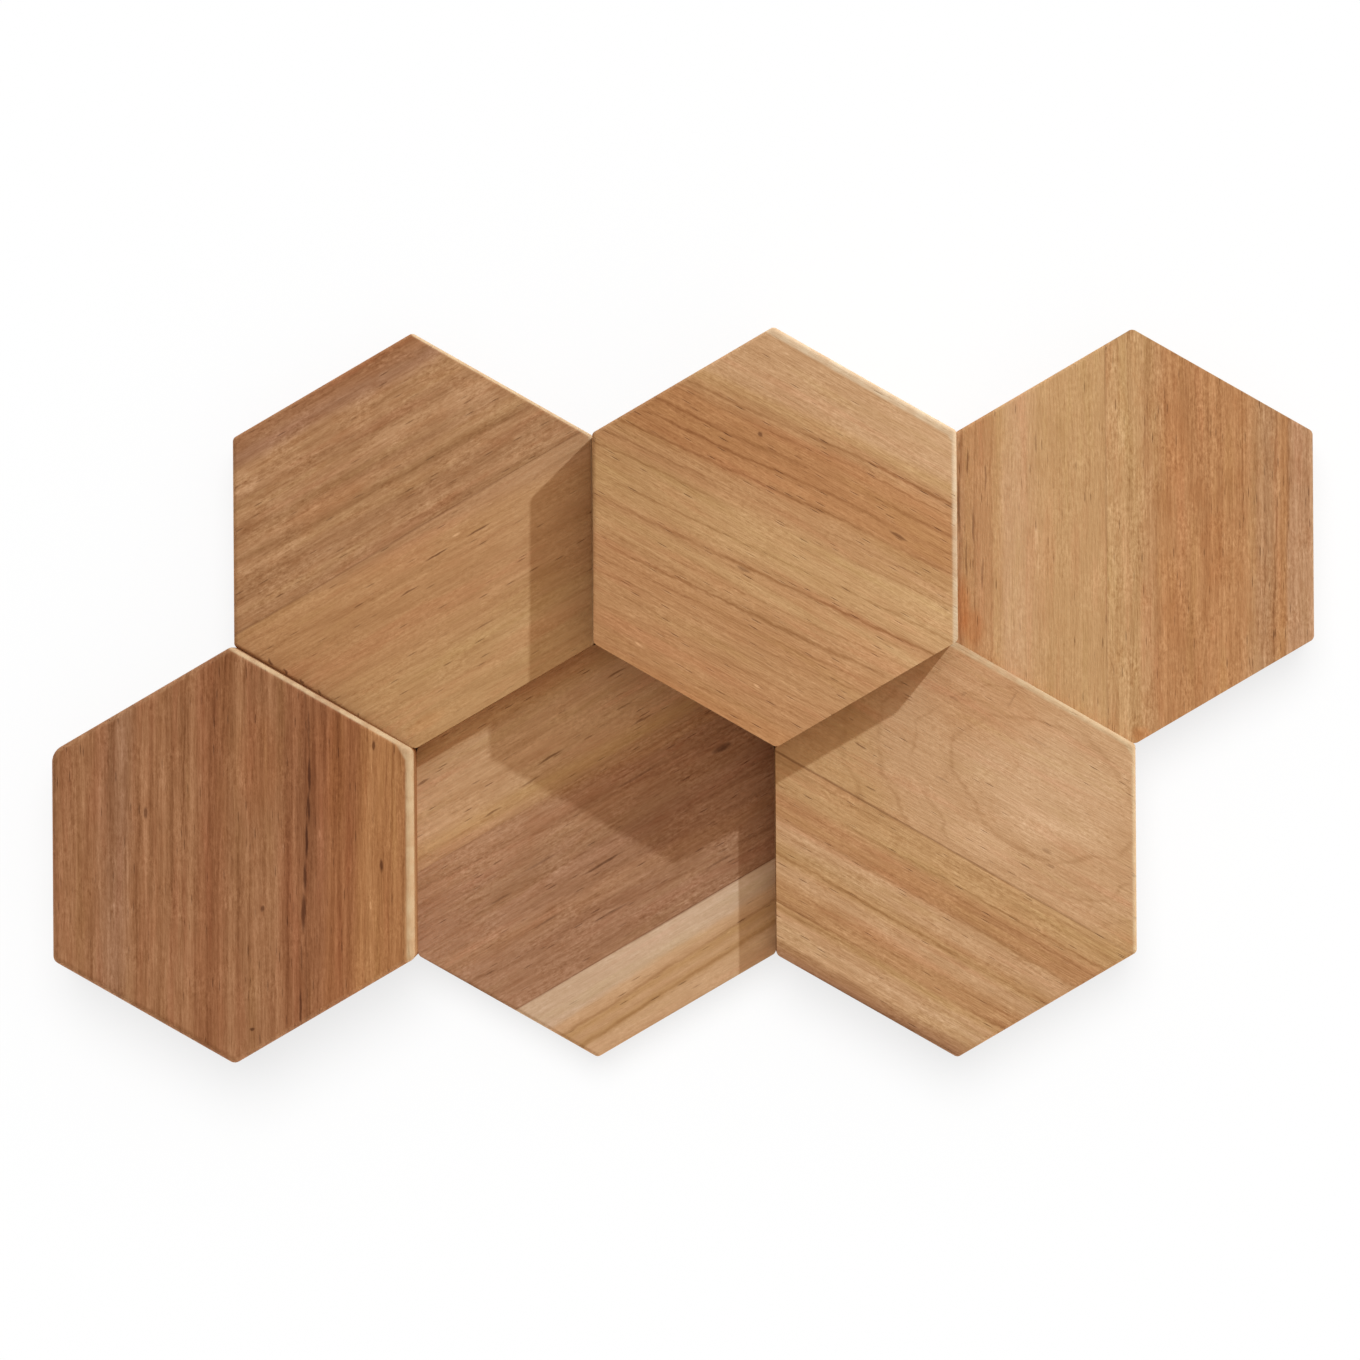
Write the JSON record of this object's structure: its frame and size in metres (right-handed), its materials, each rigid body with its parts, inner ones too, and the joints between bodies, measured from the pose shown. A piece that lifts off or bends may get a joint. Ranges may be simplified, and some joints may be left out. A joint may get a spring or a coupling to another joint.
{
  "type": "honeycomb wood wall tile",
  "caption": "Relief wall tile of hexagonal solid-wood blocks in stepped thicknesses, each glued up from strips, with eased rims and a flat back for gluing to a wall.",
  "frame": {"origin": "centre of the tile's outline on the plane of its flat back", "axes": "+X along the rows of blocks, +Y up across the rows as hung, +Z out of the wall through the front"},
  "size_m": [0.35, 0.2016, 0.0355],
  "materials": {
    "golden_wood": "sanded, unvarnished, matt",
    "brown_wood": "sanded, unvarnished, matt",
    "reddish_wood": "sanded, unvarnished, matt",
    "pale_wood": "sanded, unvarnished, matt"
  },
  "bodies": {
    "root": {"top_left_upper_strip": "brown_wood", "top_left_lower_strip": "golden_wood", "top_centre_block": "golden_wood", "top_right_left_strip": "golden_wood", "top_right_right_strip": "reddish_wood", "bottom_left_left_strip": "brown_wood", "bottom_left_right_strip": "reddish_wood", "bottom_centre_upper_strip": "golden_wood", "bottom_centre_middle_strip": "brown_wood", "bottom_centre_lower_strip": "pale_wood", "bottom_right_lower_strip": "golden_wood", "bottom_right_upper_strip": "pale_wood"}
  },
  "joints": []
}
